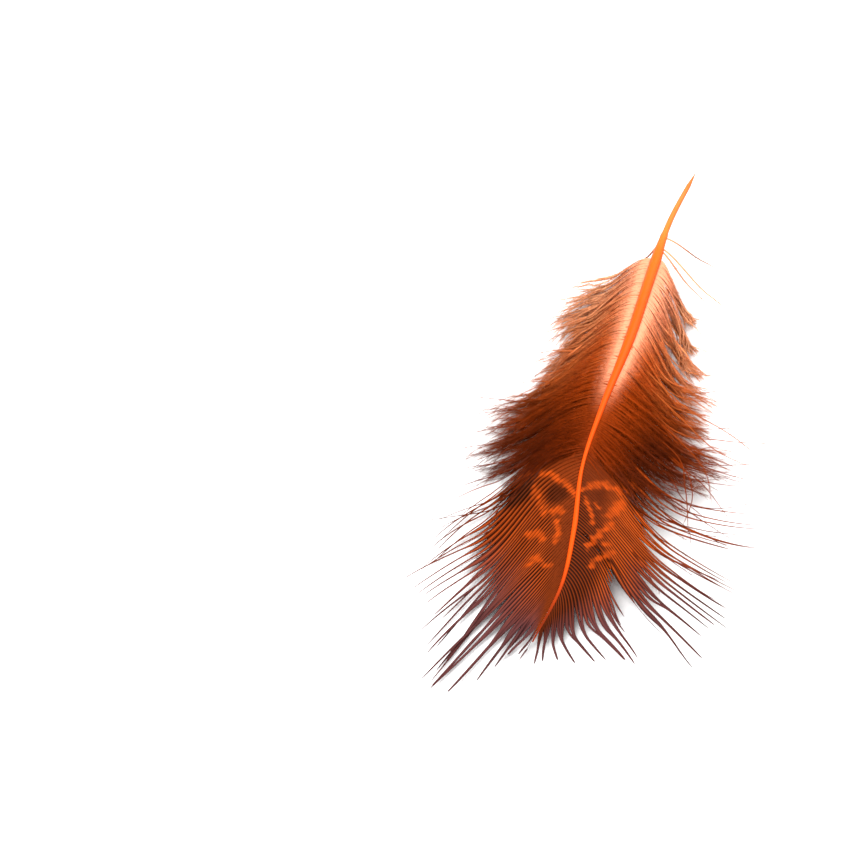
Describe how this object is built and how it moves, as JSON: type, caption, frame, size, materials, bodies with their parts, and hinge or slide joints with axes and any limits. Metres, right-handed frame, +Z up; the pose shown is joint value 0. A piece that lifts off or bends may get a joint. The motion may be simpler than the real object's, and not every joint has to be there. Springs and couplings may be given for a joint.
{
  "type": "pheasant rump feather",
  "caption": "Dyed orange pheasant rump feather with a bare quill, a downy base and a firm fanned vane, lying on its barb tips.",
  "frame": {"origin": "on the surface that the feather lies on, under the middle of its outline", "axes": "+Y along the shaft towards the quill, +X towards the right vane, +Z up"},
  "size_m": [0.0384, 0.09, 0.0074],
  "materials": {
    "barbs": "matte",
    "shaft": "satin"
  },
  "bodies": {
    "root": {"feather": "barbs"}
  },
  "joints": []
}
